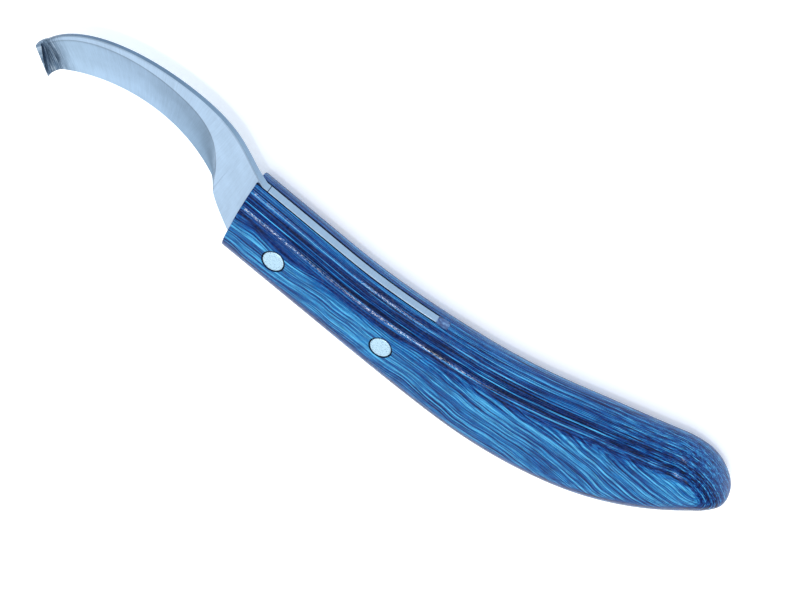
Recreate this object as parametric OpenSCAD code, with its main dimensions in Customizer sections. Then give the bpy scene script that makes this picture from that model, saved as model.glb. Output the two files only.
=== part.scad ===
// Hoof knife: a one-piece blade whose end is curled into a hook, let into a slot
// in a laminated wooden handle, glued, and fastened with two solid rivets.
// The knife lies on one side. +X runs from the handle's front face to the hook,
// +Y points from the spine to the cutting edge, and +Z up through the thickness.
// The origin is on the flat of the resting side, straight below the centre line
// and midway between the rivets.
// The handle's front face leans back from its spine corner, the front corner.
// The functions measure from the front point, which is the point of the centre
// line abreast of the front corner, and in_frame() moves each sub-part to the
// origin.

/* [Handle] */
// Length of the handle along its centre line
handle_l = 150; // [125:0.5:180]
// Thickness of the handle between its two side flats
handle_t = 19; // [16:0.5:23]
// Height of the handle at its front corner, across the centre line
front_h = 23; // [19:0.5:28]
// Height of the handle at its deepest place, near the butt
deep_h = 30; // [25:0.5:36]
// Height of the handle just before the butt is rounded off
butt_h = 15; // [12.5:0.5:18]
// Distance from the front point to the deepest place, along the centre line
deep_at = 106; // [88:1:122]
// Depth of the rounded spine and belly, measured from each side flat
edge_round = 9.2; // [7:0.1:9.4]
// Radius that rounds off the butt's spine corner
butt_spine_r = 12.5; // [10:0.5:15]
// Radius that rounds off the butt's belly corner
butt_belly_r = 2; // [1:0.5:4]
// Radius that rounds off the butt's two side edges
butt_side_r = 8; // [5:0.5:9]
// Length of the straight front stretch of the centre line
straight_l = 30; // [20:1:40]
// Slope of that stretch towards the belly, in degrees
front_slope = 3.7; // [0:0.1:6]
// Length of the gently curved middle stretch
mid_l = 45; // [36:1:54]
// Bend radius of the middle stretch
mid_r = 340; // [280:10:420]
// Bend radius of the centre line from there to the butt
butt_bend_r = 113; // [94:1:140]

// Lean of the front face, from the spine back towards the belly, in degrees
front_tilt = 9.5; // [0:0.5:14]

/* [Tang and slot] */
// Length of the tang behind the front point
tang_l = 59.5; // [54:0.5:72]
// Distance of the tang's lower edge from the belly of the handle
tang_inset = 2.6; // [1.5:0.1:4]
// Thickness of the tang and of the blade's heel
tang_t = 2.7; // [2.2:0.1:3.3]
// Distance behind the front point at which the spine leaves the handle
spine_rise_at = 2.3; // [1:0.1:4]
// Thickness of the glue line on each side of the tang
glue_t = 0.2; // [0.1:0.05:0.4]
// Length of the filled end of the slot behind the tang
filler_l = 3.5; // [2:0.5:7]

/* [Rivets] */
// Diameter of each rivet
rivet_d = 6; // [4:0.1:7]
// Gap between a rivet and the hole that it fills
rivet_gap = 0.02; // [0.01:0.01:0.1]
// Distance from the front point to the front rivet
front_rivet_at = 16.3; // [12:0.1:20]
// Distance between the two rivets
rivet_pitch = 35.9; // [28:0.1:38]
// Distance of the rivets from the centre line, towards the spine
rivet_rise = 1; // [0:0.1:3]

/* [Blade] */
// Reach of the spine from the front point to the start of the hook
blade_l = 64.5; // [53.5:0.1:78]
// Height of the spine's crown above the front point
crown_h = 22.6; // [18.8:0.1:27.2]
// Distance from the front point to the crown
crown_at = 28.3; // [23.5:0.1:34]
// Height of the spine above the front point where the hook starts
tip_h = 6.2; // [5:0.1:7.5]
// Direction of the blade where the hook starts, in degrees towards the edge
tip_angle = 48; // [40:1:58]
// Width of the blade where the hook starts
tip_w = 9.6; // [8:0.1:11.6]
// Distance from the front point to the corner where the heel meets the cutting edge
heel_l = 7.5; // [6.2:0.1:9]
// Distance of that corner below the front point
heel_drop = 0.4; // [0:0.1:2]
// Thickness of the blade where the hook starts
tip_t = 1.4; // [1.1:0.1:1.7]
// Thickness left at the cutting edge
edge_t = 0.15; // [0.1:0.05:0.4]
// Distance over which the flat band beside the bevel narrows
band_fall = 20; // [16:1:24]

/* [Hook] */
// Outer bend radius of the hook
hook_r = 2.6; // [2.1:0.1:3.2]
// Angle through which the hook is bent
hook_angle = 116; // [96:1:140]

/* [Hidden] */

rest_z = handle_t / 2;              // height of the tang's middle plane
slot_t = tang_t + 2 * glue_t;       // width of the slot
slot_l = tang_l + filler_l;         // length of the slot
hole_d = rivet_d + 2 * rivet_gap;   // holes through handle, glue and tang
past = 1;                           // how far a cutting tool runs past what it cuts

// ---- Small functions -----------------------------------------------------

// Smooth step from 0 to 1 as u goes from 0 to 1
function ease(u) = let (v = min(1, max(0, u))) (1 - cos(180 * v)) / 2;

// Point at t on the cubic curve with end points a and d and handles b and c
function bezier(a, b, c, d, t) =
    pow(1 - t, 3) * a + 3 * t * pow(1 - t, 2) * b + 3 * t * t * (1 - t) * c + pow(t, 3) * d;

// Step along a circular bend that turns clockwise from the direction of +X
function bend_step(r, turn) = [r * sin(turn), -r * (1 - cos(turn))];

// A vector turned through an angle
function turned(v, angle) = [v.x * cos(angle) - v.y * sin(angle), v.x * sin(angle) + v.y * cos(angle)];

// ---- Handle: centre line and sections --------------------------------------

// Angle that a bend of radius r turns through in a length l, in degrees
function bend_angle(l, r) = l / r * 180 / PI;

// Direction of the centre line at s from the front point, in degrees from -X to +Y
function line_angle(s) = front_slope
    - bend_angle(min(mid_l, max(0, s - straight_l)), mid_r)
    - bend_angle(max(0, s - straight_l - mid_l), butt_bend_r);

// Point of the centre line at s from the front point
function line_point(s) =
    let (
        l0 = min(s, straight_l),
        l1 = min(mid_l, max(0, s - straight_l)),
        l2 = max(0, s - straight_l - mid_l),
        a1 = front_slope - bend_angle(l1, mid_r),
        straight = turned([l0, 0], front_slope),
        middle = turned(bend_step(mid_r, bend_angle(l1, mid_r)), front_slope),
        rear = turned(bend_step(butt_bend_r, bend_angle(l2, butt_bend_r)), a1),
        p = straight + middle + rear
    )
    [-p.x, p.y];

// Direction across the handle at s, from spine to belly
function line_side(s) = let (a = line_angle(s)) [sin(a), cos(a)];

// How far an edge rounded with radius r draws in at s, near the end of the handle
function butt_inset(s, r) = let (d = max(0, s - handle_l + r)) r - sqrt(max(0, r * r - d * d));

// Half the handle's height at s, before the butt is rounded off
function swell(s) = s < deep_at
    ? front_h / 2 + (deep_h - front_h) / 2 * ease((s - straight_l) / (deep_at - straight_l))
    : deep_h / 2 - (deep_h - butt_h) / 2 * (1 - cos(90 * (s - deep_at) / (handle_l - deep_at)));

// Outlines of the handle at s, and of the lower edge of the tang
function spine_point(s) = line_point(s) - (swell(s) - butt_inset(s, butt_spine_r)) * line_side(s);
function belly_point(s) = line_point(s) + (swell(s) - butt_inset(s, butt_belly_r)) * line_side(s);
function tang_point(s) = belly_point(s) - tang_inset * line_side(s);

// Section of the handle at s: side flats joined by half ellipses
function handle_ring(s, sides) =
    let (
        c = (spine_point(s) + belly_point(s)) / 2,
        n = line_side(s),
        h = norm(belly_point(s) - spine_point(s)) / 2,
        round_h = min(edge_round, h),
        half_t = handle_t / 2 - butt_inset(s, butt_side_r)
    )
    [for (i = [0:sides - 1])
        let (
            a = 360 * (i + 0.5) / sides,
            y = sign(cos(a)) * (h - round_h) + round_h * cos(a),
            p = c + y * n
        )
        [p.x, p.y, rest_z + half_t * sin(a)]];

// ---- Blade: spine, edge and sections ---------------------------------------

crown = [crown_at, -crown_h];
tip = [blade_l, -tip_h];
tip_dir = [cos(tip_angle), sin(tip_angle)];
tip_side = [-sin(tip_angle), cos(tip_angle)];
heel = [heel_l, heel_drop];
edge_end = tip + tip_w * tip_side;
rise = spine_point(spine_rise_at);
heel_root = tang_point(spine_rise_at);
blade_n = 56;                                   // sections along the flat of the blade
hook_n = 14;                                    // sections round the hook
tang_n = 12;                                    // sections along the tang
spine_share = (crown.x - rise.x) / (tip.x - rise.x);
heel_share = 0.2;                               // share of the sections that cross the heel

// Spine at u, from the handle at 0 over the crown to the hook at 1
function blade_spine(u) = u < spine_share
    ? let (l = crown.x - rise.x, h = rise.y - crown.y)
        bezier(rise, rise + [0.29 * l, -0.37 * h], crown - [0.63 * l, 0], crown, u / spine_share)
    : let (l = tip.x - crown.x, a = tip_angle + 17)
        bezier(crown, crown + [0.49 * l, 0], tip - 0.305 * l * [cos(a), sin(a)], tip,
            (u - spine_share) / (1 - spine_share));

// Lower outline at u: the heel's lower edge, then the cutting edge
function blade_edge(u) = u < heel_share
    ? let (h = heel_root.y - heel.y)
        bezier(heel_root, heel_root, heel + h * [-0.16, 0.31], heel, u / heel_share)
    : let (l = edge_end.x - heel.x)
        bezier(heel, heel + l * [0.36, -0.295], edge_end - l * [0.23, 0.18], edge_end,
            (u - heel_share) / (1 - heel_share));

// Thickness at u, falling from heel to tip
function blade_thick(u) = tip_t + (tang_t - tip_t) * pow(1 - u, 1.5);

// Share of the width that stays flat beside the spine at u
function flat_share(u) =
    let (d = max(0, blade_edge(u).x - heel.x))
    u <= heel_share ? 0.98 : min(0.98, 0.05 + 0.95 * pow(1 + d / band_fall, -2.6));

// Depth of the bevel at u: none at the heel, full just past its corner
function bevel_depth(u) = ease((u - heel_share + 0.01) / 0.05);

// Section across the blade in [share of width, height above the far face] pairs
bevel_steps = 5;
function blade_section(t, flat, depth) = concat(
    [[0, 0], [0, t], [flat, t]],
    [for (i = [1:bevel_steps])
        let (v = i / bevel_steps, full = t * (1 - pow(1 - v, 1.6)))
        [flat + (1 - flat) * v, t - depth * min(full, t - edge_t)]],
    [[1, 0]]);

// Section at u, laid between spine and edge
function blade_ring(u) =
    let (s = blade_spine(u), e = blade_edge(u), t = blade_thick(u))
    [for (p = blade_section(t, flat_share(u), bevel_depth(u)))
        let (q = s + p.x * (e - s))
        [q.x, q.y, rest_z - t / 2 + p.y]];

// Section of the hook after it has turned through angle a
function hook_ring(a) =
    [for (p = blade_section(tip_t, flat_share(1), 1))
        let (
            r = hook_r - p.y,
            q = tip + p.x * tip_w * tip_side + r * sin(a) * tip_dir
        )
        [q.x, q.y, rest_z - tip_t / 2 + hook_r - r * cos(a)]];

// Section of the tang at s from the front point, with its top moved out past the spine
function tang_ring(s, out) =
    let (top = spine_point(s) - out * line_side(s))
    [for (p = blade_section(tang_t, 0.98, 0))
        let (q = top + p.x * (tang_point(s) - top))
        [q.x, q.y, rest_z - tang_t / 2 + p.y]];

// Places of the tang's sections, from past its end to where the spine rises
tang_end = tang_l + 2 * past;
tang_places = [for (i = [0:tang_n - 1]) tang_end + (spine_rise_at - tang_end) * i / tang_n];

// ---- Building blocks --------------------------------------------------------

// Closed solid through a row of equal rings
module skin(rings) {
    n = len(rings[0]);
    m = len(rings);
    sides = [for (i = [0:m - 2], j = [0:n - 1])
        let (a = i * n + j, b = i * n + (j + 1) % n, c = a + n, d = b + n)
        each [[a, b, d], [a, d, c]]];
    caps = [[for (j = [n - 1:-1:0]) j], [for (j = [0:n - 1]) (m - 1) * n + j]];
    polyhedron([for (ring = rings) each ring], concat(sides, caps));
}

// Everything in front of the handle's leaning front face
module front_cut() {
    translate([spine_point(0).x, spine_point(0).y, -past])
        rotate([0, 0, front_tilt - front_slope])
            translate([0, -past, 0]) cube([deep_h, 2 * deep_h, handle_t + 2 * past]);
}

// The handle before the slot and the rivet holes are cut
module handle_blank() {
    ring_n = 48;
    step = 3;
    butt_l = max(butt_spine_r, butt_belly_r, butt_side_r);
    grip = [for (s = [0:step:handle_l - butt_l - 0.01]) s];
    butt = [for (a = [0:7.5:90]) handle_l - butt_l + butt_l * sin(a)];
    difference() {
        skin([for (s = concat(grip, butt)) handle_ring(s, ring_n)]);
        front_cut();
    }
}

// Places one child on each rivet axis in the list
module at_rivets(places) {
    for (s = places) {
        p = line_point(s) - rivet_rise * line_side(s);
        translate([p.x, p.y, 0]) children();
    }
}
rivet_places = [front_rivet_at, front_rivet_at + rivet_pitch];

// Moves a sub-part from the front point's frame to the knife's own frame
datum = line_point(front_rivet_at + rivet_pitch / 2);
module in_frame() {
    translate([-datum.x, -datum.y, 0]) children();
}

module rivet_holes() {
    at_rivets(rivet_places)
        translate([0, 0, -past]) cylinder(h = handle_t + 2 * past, d = hole_d, $fn = 64);
}

// Slab across the handle from s0 to s1 behind the front point
module slab(s0, s1, t) {
    translate([-s1, -deep_h, rest_z - t / 2]) cube([s1 - s0, 2 * deep_h, t]);
}

// ---- Sub-parts --------------------------------------------------------------

module handle() {
    color("royalblue") in_frame() difference() {
        handle_blank();
        slab(-past, slot_l, slot_t);
        rivet_holes();
    }
}

module blade() {
    color("silver") in_frame() difference() {
        skin(concat(
            [for (s = tang_places) tang_ring(s, 0)],
            [for (i = [0:blade_n]) blade_ring(i / blade_n)],
            [for (i = [1:hook_n]) hook_ring(hook_angle * i / hook_n)]));
        slab(tang_l, tang_end + past, slot_t);
        rivet_holes();
    }
}

module rivet(place) {
    color("gainsboro") in_frame() at_rivets([place]) cylinder(h = handle_t, d = rivet_d, $fn = 64);
}
module front_rivet() { rivet(rivet_places[0]); }
module rear_rivet() { rivet(rivet_places[1]); }

// Resin on both sides of the tang and in the slot below it
module tang_glue() {
    color("midnightblue") in_frame() difference() {
        intersection() {
            handle_blank();
            slab(-past, tang_l, slot_t);
        }
        skin([for (s = concat(tang_places, [-past])) tang_ring(s, past)]);
        rivet_holes();
    }
}

// Resin plug that fills the slot behind the tang
module slot_filler() {
    color("steelblue") in_frame() intersection() {
        handle_blank();
        slab(tang_l, slot_l, slot_t);
    }
}

handle();
blade();
front_rivet();
rear_rivet();
tang_glue();
slot_filler();
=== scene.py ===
"""Visual model of a hoof knife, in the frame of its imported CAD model.

The handle, the blade and the rivets are rebuilt here as finer meshes, with rounded
edges and small chamfers. The glue and the filler keep their CAD meshes. Shapes are
worked out in millimetres from the front point, which is the point of the handle's
centre line abreast of the front corner, as in the CAD model.
"""

import math

import bmesh
import bpy
import numpy as np
from mathutils import Matrix, Vector


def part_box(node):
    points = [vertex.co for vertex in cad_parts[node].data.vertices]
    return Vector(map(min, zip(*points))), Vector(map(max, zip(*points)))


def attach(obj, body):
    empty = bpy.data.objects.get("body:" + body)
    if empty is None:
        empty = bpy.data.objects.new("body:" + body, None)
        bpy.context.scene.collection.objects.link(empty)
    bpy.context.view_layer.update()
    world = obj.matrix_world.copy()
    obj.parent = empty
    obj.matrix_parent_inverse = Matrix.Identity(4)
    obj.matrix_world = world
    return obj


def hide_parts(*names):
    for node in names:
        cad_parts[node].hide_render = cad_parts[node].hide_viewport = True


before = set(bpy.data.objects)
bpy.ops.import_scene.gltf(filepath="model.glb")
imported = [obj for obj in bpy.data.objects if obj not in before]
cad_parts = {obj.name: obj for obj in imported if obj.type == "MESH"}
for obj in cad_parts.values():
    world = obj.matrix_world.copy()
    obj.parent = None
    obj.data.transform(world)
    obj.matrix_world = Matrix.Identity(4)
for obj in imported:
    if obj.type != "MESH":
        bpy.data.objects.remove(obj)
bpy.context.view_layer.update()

MM = 0.001

# ---- Sizes of the knife, in millimetres ---------------------------------------

HANDLE_L = 150.0
FRONT_H = 23.0
DEEP_H = 30.0
BUTT_H = 15.0
DEEP_AT = 106.0
EDGE_ROUND = 9.2
BUTT_SPINE_R = 12.5
BUTT_BELLY_R = 2.0
BUTT_SIDE_R = 8.0
STRAIGHT_L = 30.0
FRONT_SLOPE = math.radians(3.7)
MID_L = 45.0
MID_R = 340.0
BUTT_BEND_R = 113.0
FRONT_TILT = math.radians(9.5)
FRONT_EDGE_R = 0.45         # small round of the front face's rim

TANG_L = 59.5
TANG_T = 2.7
TANG_INSET = 2.6
SPINE_RISE_AT = 2.3
GLUE_T = 0.2
GLUE_GAP = 0.18             # dark gap between the glue and the wood
FILLER_L = 3.5

RIVET_R = 3.0
RIVET_GAP = 0.28            # dark gap round a rivet
RIVET_RING = 0.65           # width of the dark ring round a rivet
FRONT_RIVET_AT = 16.3
RIVET_PITCH = 35.9
RIVET_RISE = 1.0

CROWN = np.array([28.3, -22.6])
TIP = np.array([64.5, -6.2])
TIP_ANGLE = math.radians(48)
TIP_W = 9.6
HEEL = np.array([7.5, 0.4])
TIP_T = 1.4
EDGE_T = 0.15
BAND_FALL = 20.0            # how soon the flat band narrows behind the heel's corner
BAND_POWER = 2.6
BAND_LEAST = 0.05
HOOK_R = 2.6
HOOK_ANGLE = math.radians(116)
SPINE_CHAMFER = 0.3
FLAT_MOST = 0.96            # largest share of the blade's width that is flat
BEVEL_HOLLOW = 1.6          # 1 would be a plain flat bevel
DARK_LINE_AT = 3.4         # dark line across the strip, from the front point
DARK_LINE_HALF = 0.28

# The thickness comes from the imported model, and so does the middle plane
low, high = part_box("handle")
HANDLE_T = (high.z - low.z) / MM
MID_Z = (high.z + low.z) / 2 / MM

# Finenesses of the meshes
HANDLE_SIDES = 128
FRONT_RINGS = 7
RING_STEP = 1.0
BUTT_RINGS = 41
TANG_SECTIONS = 40
BLADE_SECTIONS = 240
HEEL_SHARE = 0.2            # share of the blade's sections that cross the heel
HOOK_SECTIONS = 40
BEVEL_STEPS = 14
RIVET_SIDES = 72
HOLE_SIDES = 96
LINE_STEP = 0.05            # step along the centre line when a point's place is looked up

# Cutting tools run past what they cut, and the tang's mesh runs past its square end
CUT_PAST = 5.0
CUT_REACH = 40.0            # half height of a box that cuts right across the knife
TANG_PAST = 2.0

# ---- Outline of the handle ------------------------------------------------------


def arc(r, length):
    """Step along a bend of radius r towards the spine, as a complex number."""
    return r * np.sin(length / r) - 1j * r * (1 - np.cos(length / r))


def heading(s):
    """Direction of the centre line at s, in radians from -X to +Y."""
    mid = np.clip(s - STRAIGHT_L, 0, MID_L)
    rear = np.maximum(s - STRAIGHT_L - MID_L, 0)
    return FRONT_SLOPE - mid / MID_R - rear / BUTT_BEND_R


def line_point(s):
    """Points of the centre line at s from the front point."""
    s = np.asarray(s, float)
    mid = np.clip(s - STRAIGHT_L, 0, MID_L)
    rear = np.maximum(s - STRAIGHT_L - MID_L, 0)
    start = np.exp(1j * FRONT_SLOPE)
    after = np.exp(1j * (FRONT_SLOPE - mid / MID_R))
    p = np.minimum(s, STRAIGHT_L) * start + start * arc(MID_R, mid) + after * arc(BUTT_BEND_R, rear)
    return np.stack([-p.real, p.imag], -1)


def line_side(s):
    """Directions across the handle at s, from spine to belly."""
    a = heading(np.asarray(s, float))
    return np.stack([np.sin(a), np.cos(a)], -1)


def ease(u):
    return (1 - np.cos(np.pi * np.clip(u, 0, 1))) / 2


def swell(s):
    """Half the height of the handle at s, before the butt is rounded off."""
    front = FRONT_H / 2 + (DEEP_H - FRONT_H) / 2 * ease((s - STRAIGHT_L) / (DEEP_AT - STRAIGHT_L))
    turn = np.clip((s - DEEP_AT) / (HANDLE_L - DEEP_AT), 0, 1) * np.pi / 2
    rear = DEEP_H / 2 - (DEEP_H - BUTT_H) / 2 * (1 - np.cos(turn))
    return np.where(s < DEEP_AT, front, rear)


def butt_inset(s, r):
    d = np.maximum(0, s - HANDLE_L + r)
    return r - np.sqrt(np.maximum(0, r * r - d * d))


def edges_at(s):
    """How far the spine and the belly lie from the centre line at s."""
    return butt_inset(s, BUTT_SPINE_R) - swell(s), swell(s) - butt_inset(s, BUTT_BELLY_R)


def handle_section(s, inset, sides):
    """Offsets across the handle and heights at s: side flats joined by half ellipses."""
    spine, belly = edges_at(s)
    half_h = (belly - spine) / 2 - inset
    round_h = min(EDGE_ROUND - inset, half_h)
    half_t = HANDLE_T / 2 - butt_inset(s, BUTT_SIDE_R) - inset
    a = 2 * np.pi * (np.arange(sides) + 0.5) / sides
    y = (spine + belly) / 2 + np.sign(np.cos(a)) * (half_h - round_h) + round_h * np.cos(a)
    return y, MID_Z + half_t * np.sin(a)


def side_height(s, y):
    """Height of the upper side's surface above the middle plane at s and y."""
    spine, belly = edges_at(s)
    past_flat = np.abs(y - (spine + belly) / 2) - (belly - spine) / 2 + EDGE_ROUND
    return HANDLE_T / 2 * np.sqrt(1 - np.clip(past_flat / EDGE_ROUND, 0, 1) ** 2)


# ---- Outline of the blade -------------------------------------------------------


def bezier(a, b, c, d, t):
    t = np.asarray(t, float)[..., None]
    return (1 - t) ** 3 * a + 3 * t * (1 - t) ** 2 * b + 3 * t * t * (1 - t) * c + t ** 3 * d


def spine_point(s):
    return line_point(s) + edges_at(s)[0] * line_side(s)


def tang_point(s):
    return line_point(s) + (edges_at(s)[1] - TANG_INSET) * line_side(s)


RISE = spine_point(SPINE_RISE_AT)
HEEL_ROOT = tang_point(SPINE_RISE_AT)
TIP_DIR = np.array([math.cos(TIP_ANGLE), math.sin(TIP_ANGLE)])
TIP_SIDE = np.array([-math.sin(TIP_ANGLE), math.cos(TIP_ANGLE)])
EDGE_END = TIP + TIP_W * TIP_SIDE
SPINE_SHARE = (CROWN[0] - RISE[0]) / (TIP[0] - RISE[0])


# The inner points of these curves lie at shares of each curve's extent, as in the CAD model
def blade_spine(u):
    """Spine at u, from the handle at 0 over the crown to the hook at 1."""
    if u < SPINE_SHARE:
        reach, rise = CROWN[0] - RISE[0], RISE[1] - CROWN[1]
        b = RISE + np.array([0.29 * reach, -0.37 * rise])
        c = CROWN - np.array([0.63 * reach, 0])
        return bezier(RISE, b, c, CROWN, u / SPINE_SHARE)
    reach, a = TIP[0] - CROWN[0], TIP_ANGLE + math.radians(17)
    b = CROWN + np.array([0.49 * reach, 0])
    c = TIP - 0.305 * reach * np.array([math.cos(a), math.sin(a)])
    return bezier(CROWN, b, c, TIP, (u - SPINE_SHARE) / (1 - SPINE_SHARE))


def blade_edge(u):
    """Lower outline at u: the heel's lower edge, then the cutting edge."""
    if u < HEEL_SHARE:
        drop = HEEL_ROOT[1] - HEEL[1]
        c = HEEL + drop * np.array([-0.16, 0.31])
        return bezier(HEEL_ROOT, HEEL_ROOT, c, HEEL, u / HEEL_SHARE)
    reach = EDGE_END[0] - HEEL[0]
    b = HEEL + reach * np.array([0.36, -0.295])
    c = EDGE_END - reach * np.array([0.23, 0.18])
    return bezier(HEEL, b, c, EDGE_END, (u - HEEL_SHARE) / (1 - HEEL_SHARE))


def flat_share(u):
    """Share of the width that stays flat beside the spine at u."""
    if u <= HEEL_SHARE:
        return FLAT_MOST
    d = max(0.0, blade_edge(u)[0] - HEEL[0])
    return min(FLAT_MOST, BAND_LEAST + (1 - BAND_LEAST) * (1 + d / BAND_FALL) ** -BAND_POWER)


def blade_thick(u):
    """Thickness at u, falling from heel to tip."""
    return TIP_T + (TANG_T - TIP_T) * (1 - u) ** 1.5


def bevel_depth(u):
    """Share of the bevel's full depth at u: 0 on the heel, 1 just past its corner."""
    return float(ease((u - HEEL_SHARE + 0.01) / 0.05))


# Places in a section of the blade, counted round it
SPINE_FAR, SPINE_NEAR, CHAMFER, CREASE = 0, 1, 2, 3
EDGE_NEAR = CREASE + BEVEL_STEPS
FAR_EDGE, FAR_CHAMFER = EDGE_NEAR + 1, EDGE_NEAR + 2


def blade_section(thick, width, flat, depth):
    """Section across the blade: shares of the width, and heights above the far face."""
    chamfer = SPINE_CHAMFER / width
    v = np.arange(1, BEVEL_STEPS + 1) / BEVEL_STEPS
    bevel = np.minimum(thick * (1 - (1 - v) ** BEVEL_HOLLOW), thick - EDGE_T)
    share = [0, 0, chamfer, max(flat, 2 * chamfer), *(flat + (1 - flat) * v), 1, chamfer]
    height = [SPINE_CHAMFER, thick - SPINE_CHAMFER, thick, thick, *(thick - depth * bevel), 0, 0]
    return np.array(share), np.array(height)


# ---- Meshes ---------------------------------------------------------------------

DATUM = line_point(FRONT_RIVET_AT + RIVET_PITCH / 2)


def to_frame(points):
    """Points from the front point, in millimetres, to the row's frame in metres."""
    return (np.asarray(points, float) - np.array([*DATUM, 0])) * MM


def loft(name, rings):
    """Closed mesh through a row of equal rings of points."""
    rings = np.asarray(rings, float)
    m, n = rings.shape[:2]
    quads = [
        (i * n + j, i * n + (j + 1) % n, (i + 1) * n + (j + 1) % n, (i + 1) * n + j)
        for i in range(m - 1) for j in range(n)
    ]
    caps = [tuple(reversed(range(n))), tuple(range((m - 1) * n, m * n))]
    mesh = bpy.data.meshes.new(name)
    mesh.from_pydata(to_frame(rings.reshape(-1, 3)).tolist(), [], quads + caps)
    shell = bmesh.new()
    shell.from_mesh(mesh)
    bmesh.ops.recalc_face_normals(shell, faces=shell.faces)
    shell.to_mesh(mesh)
    shell.free()
    piece = bpy.data.objects.new(name, mesh)
    bpy.context.scene.collection.objects.link(piece)
    return piece


def at_point(s, y, z):
    """Points at s along the handle, y across it and z up."""
    s, y, z = np.broadcast_arrays(np.asarray(s, float), y, z)
    return np.concatenate([line_point(s) + y[..., None] * line_side(s), z[..., None]], -1)


def cut(piece, cutters):
    """Cuts the cutters out of a piece for good, and removes them."""
    for cutter in cutters:
        step = piece.modifiers.new("cut", "BOOLEAN")
        step.operation = "DIFFERENCE"
        step.solver = "EXACT"
        step.object = cutter
    graph = bpy.context.evaluated_depsgraph_get()
    mesh = bpy.data.meshes.new_from_object(piece.evaluated_get(graph))
    piece.modifiers.clear()
    piece.data = mesh
    for cutter in cutters:
        bpy.data.objects.remove(cutter)


def shade(piece, angle, sharp=()):
    """Smooth shading that breaks at steep edges and at the edges given."""
    mesh = piece.data
    mesh.shade_smooth()
    mesh.set_sharp_from_angle(angle=angle)
    for edge in sharp:
        mesh.edges[edge].use_edge_sharp = True


def write_vectors(mesh, name, values):
    attribute = mesh.attributes.new(name, "FLOAT_VECTOR", "POINT")
    attribute.data.foreach_set("vector", np.asarray(values, np.float32).ravel())


def points_of(mesh):
    co = np.zeros(len(mesh.vertices) * 3)
    mesh.vertices.foreach_get("co", co)
    return co.reshape(-1, 3) / MM + np.array([*DATUM, 0])


def write_grain(mesh):
    """Stores each vertex's place along the centre line, across it and up, in millimetres."""
    points = points_of(mesh)
    samples = round((HANDLE_L + 2 * CUT_PAST) / LINE_STEP) + 1
    s = np.linspace(-CUT_PAST, HANDLE_L + CUT_PAST, samples)
    line, side = line_point(s), line_side(s)
    found = [np.argmin(((line - p[:2]) ** 2).sum(1)) for p in points]
    across = ((points[:, :2] - line[found]) * side[found]).sum(1)
    write_vectors(mesh, "grain", np.stack([s[found], across, points[:, 2]], 1))


def rivet_cutter(name, place):
    """Rod through the handle, a little wider than the rivet."""
    a = np.linspace(0, 2 * np.pi, HOLE_SIDES, endpoint=False)
    centre = line_point(place) - RIVET_RISE * line_side(place)
    r = RIVET_R + RIVET_GAP
    x, y = centre[0] + r * np.cos(a), centre[1] + r * np.sin(a)
    ends = (-CUT_PAST, HANDLE_T + CUT_PAST)
    return loft(name, [np.stack([x, y, np.full_like(a, z)], 1) for z in ends])


def box_cutter(name, start, end, half):
    """Box about the middle plane, from one X to another and wider than the knife."""
    corners = [(-half, -CUT_REACH), (half, -CUT_REACH), (half, CUT_REACH), (-half, CUT_REACH)]
    return loft(name, [[(x, y, MID_Z + z) for z, y in corners] for x in (start, end)])


RIVET_PLACES = {"front_rivet": FRONT_RIVET_AT, "rear_rivet": FRONT_RIVET_AT + RIVET_PITCH}


def rivet_cutters(ending):
    return [rivet_cutter(name + ending, s) for name, s in RIVET_PLACES.items()]


def make_handle():
    """The wood, from rings at (place along the centre line, inset) pairs, slotted and bored."""
    turn = np.radians(np.linspace(0, 90, FRONT_RINGS))
    front = [(FRONT_EDGE_R * (1 - math.cos(a)), FRONT_EDGE_R * (1 - math.sin(a))) for a in turn]
    grip = [(s, 0.0) for s in np.arange(2 * RING_STEP, HANDLE_L - BUTT_SPINE_R, RING_STEP)]
    turn = np.radians(np.linspace(0, 90, BUTT_RINGS))
    butt = [(HANDLE_L - BUTT_SPINE_R * (1 - math.sin(a)), 0.0) for a in turn]
    rings = []
    for s, inset in front + grip + butt:
        y, z = handle_section(s, inset, HANDLE_SIDES)
        lean = (y - edges_at(0.0)[0]) * math.tan(FRONT_TILT) * max(0, 1 - s / STRAIGHT_L)
        rings.append(at_point(s + lean, y, z))
    handle = loft("handle_body", rings)
    slot_half = TANG_T / 2 + GLUE_T + GLUE_GAP
    slot = box_cutter("slot_cutter", -TANG_L - FILLER_L, 2 * CUT_PAST, slot_half)
    cut(handle, [slot, *rivet_cutters("_hole")])
    write_grain(handle.data)
    shade(handle, math.radians(35))
    return handle


class Sections:
    """Rings of the blade, with each point's place on the steel and down the bevel."""

    def __init__(self):
        self.rings, self.places, self.bevels = [], [], []

    def add(self, flat, height, along, across, reach, bevel):
        n = len(height)
        self.rings.append(np.column_stack([flat, height]))
        self.places.append(np.column_stack([np.full(n, along), across, np.full(n, reach)]))
        self.bevels.append(bevel)


def add_tang(sections, down_bevel):
    """From past its square end forward. Along is negative here, and there is no bevel."""
    share, height = blade_section(TANG_T, FRONT_H - TANG_INSET, FLAT_MOST, 0)
    for s in np.linspace(TANG_L + TANG_PAST, SPINE_RISE_AT, TANG_SECTIONS, endpoint=False):
        top, bottom = spine_point(s), tang_point(s)
        flat = top + share[:, None] * (bottom - top)
        sections.add(flat, MID_Z - TANG_T / 2 + height, -s, share * FRONT_H, 0, 0 * down_bevel)


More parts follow.
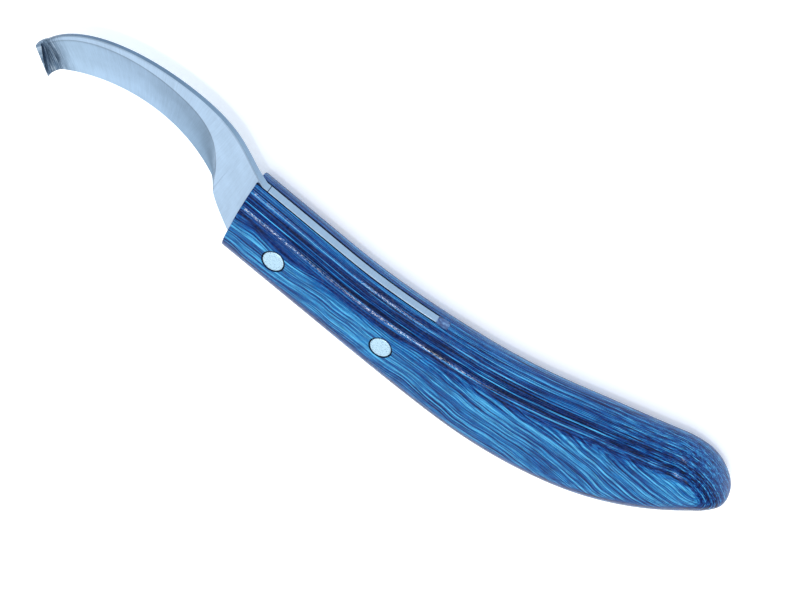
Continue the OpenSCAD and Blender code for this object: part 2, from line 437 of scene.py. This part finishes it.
def add_flat_blade(sections, down_bevel):
    """From the handle to the hook. Returns the length along the middle of the blade."""
    along = 0.0
    for i in range(BLADE_SECTIONS + 1):
        u = i / BLADE_SECTIONS
        top, bottom = blade_spine(u), blade_edge(u)
        thick, depth = blade_thick(u), bevel_depth(u)
        width = np.linalg.norm(bottom - top)
        share, height = blade_section(thick, width, flat_share(u), depth)
        if i:
            along += np.linalg.norm(top + bottom - last) / 2
        last = top + bottom
        flat = top + share[:, None] * (bottom - top)
        sections.add(flat, MID_Z - thick / 2 + height, along, share * width, u, depth * down_bevel)
    return along


def add_hook(sections, down_bevel, along):
    """The tip's section, turned up about an axis above the blade. Reach runs from 1 to 2."""
    share, height = blade_section(TIP_T, TIP_W, flat_share(1.0), 1)
    r = HOOK_R - height
    for i in range(1, HOOK_SECTIONS + 1):
        a = HOOK_ANGLE * i / HOOK_SECTIONS
        flat = TIP + share[:, None] * TIP_W * TIP_SIDE + (r * math.sin(a))[:, None] * TIP_DIR
        raised = MID_Z - TIP_T / 2 + HOOK_R - r * math.cos(a)
        reach = 1 + i / HOOK_SECTIONS
        sections.add(flat, raised, along + HOOK_R * a, share * TIP_W, reach, down_bevel)


def sharp_edges(mesh, n):
    """Lengthways edges at the section's corners; the crease only where there is a bevel."""
    columns = {SPINE_FAR, SPINE_NEAR, CHAMFER, CREASE, EDGE_NEAR, FAR_EDGE, FAR_CHAMFER}
    first_bevel = (TANG_SECTIONS + int(HEEL_SHARE * BLADE_SECTIONS)) * n
    found = []
    for edge in mesh.edges:
        a, b = edge.vertices
        lengthways = a % n == b % n and a % n in columns
        if lengthways and (a % n != CREASE or min(a, b) >= first_bevel):
            found.append(edge.index)
    return found


def make_blade():
    """Tang, blade and hook as one loft, cut square at the tang's end and bored."""
    steps = np.arange(1, BEVEL_STEPS + 1) / BEVEL_STEPS
    down_bevel = np.concatenate([np.zeros(CREASE + 1), steps, [1, 0]])
    sections = Sections()
    add_tang(sections, down_bevel)
    along = add_flat_blade(sections, down_bevel)
    add_hook(sections, down_bevel, along)
    blade = loft("blade_steel", sections.rings)
    write_vectors(blade.data, "steel", np.concatenate(sections.places))
    mask = blade.data.attributes.new("bevel", "FLOAT", "POINT")
    mask.data.foreach_set("value", np.concatenate(sections.bevels).astype(np.float32))
    shade(blade, math.radians(40), sharp_edges(blade.data, len(down_bevel)))
    square_end = box_cutter("tang_end_cutter", -TANG_L - 2 * CUT_PAST, -TANG_L, TANG_T)
    cut(blade, [square_end, *rivet_cutters("_bore")])
    return blade


def make_rivet(name, place):
    """Solid rod whose ends follow the handle's surface and are slightly rounded at the rim."""
    a = np.linspace(0, 2 * np.pi, RIVET_SIDES, endpoint=False)
    # Shares of the radius, and how far the rod's end lies below the wood's surface there
    profile = [(0.3, 0.0), (0.7, 0.0), (0.9, 0.015), (0.97, 0.06), (1.0, 0.16)]
    rings = []
    for side in (-1, 1):
        for r, sink in profile if side < 0 else reversed(profile):
            s, y = place - r * RIVET_R * np.cos(a), -RIVET_RISE + r * RIVET_R * np.sin(a)
            rings.append(at_point(s, y, MID_Z + side * (side_height(s, y) - sink)))
    rivet = loft(name + "_rod", rings)
    write_grain(rivet.data)
    shade(rivet, math.radians(50))
    return rivet


# ---- Materials ------------------------------------------------------------------


def linear(red, green, blue):
    """A colour given in 8-bit sRGB, in scene values."""
    return tuple(c / 12.92 if c <= 0.04045 else ((c + 0.055) / 1.055) ** 2.4
                 for c in (red / 255, green / 255, blue / 255)) + (1.0,)


class Paint:
    """A node material, built by short calls."""

    def __init__(self, name):
        self.material = bpy.data.materials.new(name)
        self.material.use_nodes = True
        self.tree = self.material.node_tree
        self.shader = self.tree.nodes["Principled BSDF"]

    def put(self, socket, value):
        if isinstance(value, bpy.types.NodeSocket):
            self.tree.links.new(value, socket)
        else:
            socket.default_value = value

    def node(self, kind, inputs, output=0, **settings):
        made = self.tree.nodes.new("ShaderNode" + kind)
        for key, value in settings.items():
            setattr(made, key, value)
        for key, value in inputs.items():
            self.put(made.inputs[key], value)
        return made.outputs[output]

    def math(self, operation, a, b=0.0, c=0.0):
        return self.node("Math", {0: a, 1: b, 2: c}, operation=operation)

    def stored(self, name):
        return self.node("Attribute", {}, output="Vector", attribute_name=name)

    def part(self, vector, axis):
        return self.node("SeparateXYZ", {0: vector}, output=axis)

    def stretched(self, vector, scale):
        return self.node("VectorMath", {0: vector, 1: scale}, operation="MULTIPLY")

    def noise(self, vector, detail=3.0, roughness=0.5):
        inputs = {"Vector": vector, "Scale": 1.0, "Detail": detail, "Roughness": roughness}
        return self.node("TexNoise", inputs)

    def ramp(self, value, stops):
        socket = self.node("ValToRGB", {0: value})
        elements = socket.node.color_ramp.elements
        while len(elements) < len(stops):
            elements.new(1.0)
        for element, (place, colour) in zip(elements, stops):
            element.position = place
            element.color = colour if isinstance(colour, tuple) else (colour, colour, colour, 1.0)
        return socket

    def mix(self, factor, a, b, blend="MIX"):
        return self.node("Mix", {0: factor, 6: a, 7: b}, output=2, data_type="RGBA", blend_type=blend)

    def bump(self, height, strength, distance):
        made = self.node("Bump", {"Height": height, "Strength": strength, "Distance": distance})
        self.put(self.shader.inputs["Normal"], made)

    def set(self, **values):
        for key, value in values.items():
            self.put(self.shader.inputs[key.replace("_", " ")], value)
        return self.material


def laminated_wood():
    """Dyed veneers glued face to face: layers across the rivets, grain along the handle."""
    layer_t = 0.32
    paint = Paint("laminated_wood")
    grain = paint.stored("grain")
    board = paint.node("TexCoord", {}, output="Object")
    height = paint.part(grain, "Z")

    # How far out a point lies: 0 at the middle plane, 1 on the side flats
    out = paint.math("ABSOLUTE", paint.math("SUBTRACT", height, MID_Z))
    out = paint.math("DIVIDE", out, HANDLE_T / 2)
    on_face = paint.ramp(out, [(0.84, 0.0), (0.97, 1.0)])

    # The layers wave by up to 3 mm on the faces, as a figure, and hardly on the edges
    wave = paint.noise(paint.stretched(board, (13.0, 150.0, 100.0)), detail=2.0)
    swing = paint.ramp(out, [(0.0, 0.04), (0.84, 0.06), (0.99, 1.0)])
    wave = paint.math("MULTIPLY", paint.math("MULTIPLY_ADD", wave, 6.0, -3.0), swing)
    layer = paint.math("DIVIDE", paint.math("ADD", height, wave), layer_t)
    index = paint.math("FLOOR", layer)
    within = paint.math("FRACT", layer)
    tone = paint.node("TexWhiteNoise", {"W": index}, noise_dimensions="1D")

    # Streaks and fibres follow the centre line on the edges and the board on the faces
    edge_scale, face_scale = (0.03, 0.9, 5.0), (38.0, 2200.0, 300.0)
    edge_fine_scale, face_fine_scale = (0.07, 1.6, 12.0), (200.0, 5200.0, 900.0)
    edge_streak = paint.noise(paint.stretched(grain, edge_scale), detail=4.0, roughness=0.75)
    drift = paint.node("TexNoise", {"Vector": board, "Scale": 45.0, "Detail": 2.0}, output=1)
    drift = paint.stretched(drift, (0.0, 0.006, 0.0))
    figure = paint.node("VectorMath", {0: board, 1: drift}, operation="ADD")
    face_streak = paint.noise(paint.stretched(figure, face_scale), detail=5.0, roughness=0.72)
    streak = paint.node("Mix", {0: on_face, 2: edge_streak, 3: face_streak})
    edge_fine = paint.noise(paint.stretched(grain, edge_fine_scale), detail=3.0, roughness=0.7)
    face_fine = paint.noise(paint.stretched(figure, face_fine_scale), detail=4.0, roughness=0.7)
    fine = paint.node("Mix", {0: on_face, 2: edge_fine, 3: face_fine})

    # Darkest on the shoulders, partly the veneers' own colour and partly painted shade; there the
    # colour also varies most between layers
    light = paint.ramp(out, [
        (0.0, 0.54),
        (0.4, 0.52),
        (0.6, 0.38),
        (0.86, 0.4),
        (0.97, 0.61),
        (1.0, 0.66),
    ])
    spread = paint.ramp(out, [(0.0, 0.4), (0.4, 0.5), (0.6, 0.8), (0.85, 0.7), (0.97, 0.14)])
    shift = paint.math("MULTIPLY", paint.math("SUBTRACT", tone, 0.5), spread)
    dyed_and_shaded = paint.math("ADD", light, shift)
    dyed_and_shaded = paint.math("ADD", dyed_and_shaded, paint.math("MULTIPLY_ADD", streak, 3.0, -1.5))
    dye_and_shade = paint.ramp(dyed_and_shaded, [
        (0.08, linear(0, 2, 36)),
        (0.3, linear(2, 26, 92)),
        (0.5, linear(14, 72, 140)),
        (0.7, linear(24, 112, 172)),
        (0.95, linear(84, 176, 222)),
    ])
    navy = (0.0, 0.05, 0.3, 1.0)
    seam = paint.ramp(within, [(0.0, navy), (0.28, 1.0), (0.72, 1.0), (1.0, navy)])
    seam_weight = paint.ramp(out, [(0.85, 0.9), (0.98, 0.4)])
    colour = paint.mix(seam_weight, dye_and_shade, seam, "MULTIPLY")
    fibres = paint.ramp(fine, [(0.36, 0.25), (0.5, 1.0), (0.66, 1.25)])
    colour = paint.mix(0.8, colour, fibres, "MULTIPLY")

    for place in RIVET_PLACES.values():
        centre = (place, -RIVET_RISE, 0.0)
        away = paint.node("VectorMath", {0: grain, 1: centre}, operation="SUBTRACT")
        away = paint.stretched(away, (1.0, 1.0, 0.0))
        away = paint.node("VectorMath", {0: away}, output="Value", operation="LENGTH")
        rim = paint.math("MULTIPLY_ADD", fine, 0.5, away)
        rim = paint.math("LESS_THAN", rim, RIVET_R + RIVET_RING)
        colour = paint.mix(paint.math("MULTIPLY", rim, 0.85), colour, linear(0, 4, 46))

    # The lacquer is broken by pores, which speckles the lamps' reflections
    paint.bump(fine, 0.3, 0.00008)
    pores = paint.noise(paint.stretched(grain, (1.6, 4.0, 5.0)), detail=2.0)
    lacquer = paint.ramp(pores, [(0.46, 0.04), (0.6, 0.5)])
    return paint.set(
        Base_Color=colour,
        Roughness=0.4,
        Specular_IOR_Level=0.15,
        Specular_Tint=(0.15, 0.45, 1.0, 1.0),
        Coat_Weight=lacquer,
        Coat_Roughness=0.16,
    )


def satin_steel():
    """Ground steel: pale flats; painted shade on the bevel, darkest near the heel, and on the spine's
    face; a hook with bright scratches over dark painted shade.
    """
    paint = Paint("satin_steel")
    place = paint.stored("steel")
    along, across, reach = (paint.part(place, axis) for axis in "XYZ")
    down_bevel = paint.node("Attribute", {}, output="Fac", attribute_name="bevel")
    cross = paint.noise(paint.stretched(place, (2.6, 0.14, 0.0)), detail=6.0, roughness=0.75)
    cloud = paint.noise(paint.stretched(place, (0.12, 0.2, 0.0)), detail=3.0)

    # Flats, bevel, and the crease between them, with painted shade on the bevel and a thin line of
    # painted shade along the crease
    bevel = paint.ramp(down_bevel, [(0.0, 0.0), (0.03, 1.0)])
    # Painted shade: the bevel is coloured darker than the flats, and darkest near the heel
    ground = paint.ramp(reach, [
        (0.2, linear(138, 166, 192)),
        (0.6, linear(180, 208, 236)),
        (0.9, linear(186, 214, 240)),
    ])
    colour = paint.mix(bevel, linear(188, 213, 238), ground)
    # Painted shade: a thin dark line along the crease
    crease = paint.ramp(down_bevel, [(0.0, 1.0), (0.012, 0.62), (0.03, 0.8), (0.07, 1.0)])
    colour = paint.mix(1.0, colour, crease, "MULTIPLY")

    # Painted shade on the spine's face: darker than the flats, and darker towards the tip, where the
    # spine turns and reflects less
    spine = paint.ramp(across, [(0.0, 1.0), (0.1, 0.0)])
    spine_shade = paint.ramp(reach, [
        (0.0, linear(154, 182, 208)),
        (0.5, linear(106, 132, 158)),
        (1.0, linear(94, 120, 148)),
    ])
    colour = paint.mix(spine, colour, spine_shade)

    # The hook and the end of the blade before it: bright scratches over dark painted shade where the
    # blade curls up
    hook = paint.ramp(paint.math("MULTIPLY", reach, 0.5), [(0.455, 0.0), (0.505, 1.0)])
    scratches_over_shade = paint.ramp(cross, [
        (0.36, linear(40, 58, 82)),
        (0.52, linear(112, 136, 160)),
        (0.64, linear(206, 224, 240)),
    ])
    colour = paint.mix(hook, colour, scratches_over_shade)
    brushed = paint.ramp(cross, [(0.3, 0.75), (0.7, 1.1)])
    colour = paint.mix(0.55, colour, brushed, "MULTIPLY")

    # A thin dark line crosses the strip where the blade leaves the handle
    dark_line = paint.math("ABSOLUTE", paint.math("ADD", along, DARK_LINE_AT))
    dark_line = paint.math("LESS_THAN", dark_line, DARK_LINE_HALF)
    on_spine = paint.math("LESS_THAN", across, SPINE_CHAMFER)
    dark_line = paint.math("MULTIPLY", dark_line, on_spine)
    colour = paint.mix(dark_line, colour, linear(20, 34, 62))

    clouded = paint.ramp(cloud, [(0.3, 0.86), (0.7, 1.05)])
    colour = paint.mix(0.7, colour, clouded, "MULTIPLY")
    colour = paint.mix(1.0, colour, (0.8, 0.8, 0.8, 1.0), "MULTIPLY")
    paint.bump(cross, 0.2, 0.00005)
    rough = paint.math("MULTIPLY_ADD", cloud, 0.1, 0.28)
    return paint.set(Base_Color=colour, Metallic=1.0, Roughness=rough)


def rivet_metal():
    """Bright soft metal with small specks and ground scratches."""
    paint = Paint("rivet_metal")
    grain = paint.stored("grain")
    specks = paint.noise(paint.stretched(grain, (4.0, 4.0, 1.0)), detail=3.0, roughness=0.6)
    scratch = paint.noise(paint.stretched(grain, (0.6, 9.0, 1.0)), detail=3.0)
    colour = paint.ramp(specks, [
        (0.38, linear(84, 110, 138)),
        (0.45, linear(180, 212, 230)),
        (0.7, linear(194, 224, 238)),
    ])
    paint.bump(scratch, 0.25, 0.00005)
    return paint.set(Base_Color=colour, Metallic=1.0, Roughness=0.4)


def dark_glue():
    """Near-black cured resin."""
    paint = Paint("dark_glue")
    where = paint.node("TexCoord", {}, output="Object")
    mottle = paint.noise(paint.stretched(where, (400.0, 400.0, 400.0)))
    colour = paint.ramp(mottle, [(0.3, linear(2, 4, 18)), (0.7, linear(8, 16, 44))])
    return paint.set(Base_Color=colour, Roughness=0.5, Specular_IOR_Level=0.1)


def dyed_filler():
    """Resin mixed with wood dust: mottled blue and grey."""
    paint = Paint("dyed_filler")
    where = paint.node("TexCoord", {}, output="Object")
    mottle = paint.noise(paint.stretched(where, (700.0, 900.0, 900.0)), detail=4.0)
    colour = paint.ramp(mottle, [
        (0.35, linear(14, 38, 84)),
        (0.55, linear(50, 88, 140)),
        (0.7, linear(104, 142, 182)),
    ])
    paint.bump(mottle, 0.3, 0.0001)
    return paint.set(Base_Color=colour, Roughness=0.55)


# ---- The knife ------------------------------------------------------------------

made = {
    "handle": (make_handle(), laminated_wood(), "handle_wood"),
    "blade": (make_blade(), satin_steel(), "blade_steel"),
}
rivet_paint = rivet_metal()
for node, place in RIVET_PLACES.items():
    made[node] = (make_rivet(node, place), rivet_paint, "rivet_metal")

for node, (piece, material, slot_name) in made.items():
    piece.data.materials.clear()
    piece.data.materials.append(material)
    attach(piece, "root")
    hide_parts(node)

for node, material in (("tang_glue", dark_glue()), ("slot_filler", dyed_filler())):
    cad_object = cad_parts[node]
    for cad_slot in cad_object.material_slots:
        cad_slot.material = material

# ---- Floor, lights and camera -----------------------------------------------------

MIDDLE = (0.0, 0.0, 0.01)
FLOOR_HALF = 3.0


def area_light(name, place, size, power):
    """Rectangular lamp at a place in metres, aimed at the middle of the knife."""
    lamp = bpy.data.lights.new(name, "AREA")
    lamp.shape = "RECTANGLE"
    lamp.size, lamp.size_y = size
    lamp.energy = power
    holder = bpy.data.objects.new(name, lamp)
    bpy.context.scene.collection.objects.link(holder)
    holder.location = place
    aim = Vector(MIDDLE) - Vector(place)
    holder.rotation_euler = aim.to_track_quat("-Z", "Y").to_euler()


def make_floor():
    """Plain pale floor that glows a little, so that shadows stay pale."""
    mesh = bpy.data.meshes.new("floor")
    signs = [(-1, -1), (1, -1), (1, 1), (-1, 1)]
    mesh.from_pydata([(x * FLOOR_HALF, y * FLOOR_HALF, 0) for x, y in signs], [], [(0, 1, 2, 3)])
    floor = bpy.data.objects.new("floor", mesh)
    bpy.context.scene.collection.objects.link(floor)
    paint = Paint("pale_floor")
    where = paint.node("TexCoord", {}, output="Object")
    cloud = paint.noise(paint.stretched(where, (0.8, 0.8, 0.8)))
    colour = paint.ramp(cloud, [(0.3, (0.93, 0.94, 0.95, 1.0)), (0.7, (0.95, 0.96, 0.97, 1.0))])
    paint.set(Emission_Color=(0.95, 0.97, 1.0, 1.0), Emission_Strength=0.35)
    mesh.materials.append(paint.set(Base_Color=colour, Roughness=0.9))


make_floor()
world = bpy.data.worlds.new("studio")
world.use_nodes = True
sky = world.node_tree.nodes["Background"]
sky.inputs["Color"].default_value = (0.92, 0.96, 1.0, 1.0)
sky.inputs["Strength"].default_value = 0.85
bpy.context.scene.world = world
bpy.context.scene.view_settings.view_transform = "Standard"

# Two broad lamps and a fill, and two small ones that streak the shoulder with light
area_light("back_softbox", (0.0, 0.9, 0.95), (1.6, 1.0), 2.8)
area_light("overhead", (0.0, -0.2, 1.6), (2.4, 1.6), 8.0)
area_light("front_fill", (0.0, -1.5, 0.5), (2.0, 1.0), 4.0)
area_light("shoulder_strip", (-0.03, -0.45, 0.9), (0.1, 0.05), 1.5)
area_light("spine_strip", (-0.03, -1.0, 0.12), (0.1, 0.05), 1.1)

CAMERA_AZIMUTH = math.radians(5.284)
CAMERA_ELEVATION = math.radians(45.18)
CAMERA_ROLL = math.radians(-146.739)
CAMERA_DISTANCE = 0.7
CAMERA_LENS = 120.09
CAMERA_AIM = Vector((-0.014915, -0.00593, 0.0059))


def make_camera():
    """Camera on a sphere about the aim, turned about its own axis by the roll."""
    az, el, roll = CAMERA_AZIMUTH, CAMERA_ELEVATION, CAMERA_ROLL
    back = Vector((math.sin(az) * math.cos(el), -math.cos(az) * math.cos(el), math.sin(el)))
    level = Vector((math.cos(az), math.sin(az), 0))
    upright = back.cross(level)
    right = level * math.cos(roll) + upright * math.sin(roll)
    up = upright * math.cos(roll) - level * math.sin(roll)
    lens = bpy.data.cameras.new("camera")
    lens.sensor_width = 36.0
    lens.lens = CAMERA_LENS
    lens.clip_start, lens.clip_end = 0.01, 20.0
    camera = bpy.data.objects.new("camera", lens)
    bpy.context.scene.collection.objects.link(camera)
    turn = Matrix((right, up, back)).transposed().to_4x4()
    camera.matrix_world = Matrix.Translation(CAMERA_AIM + back * CAMERA_DISTANCE) @ turn
    bpy.context.scene.camera = camera


make_camera()
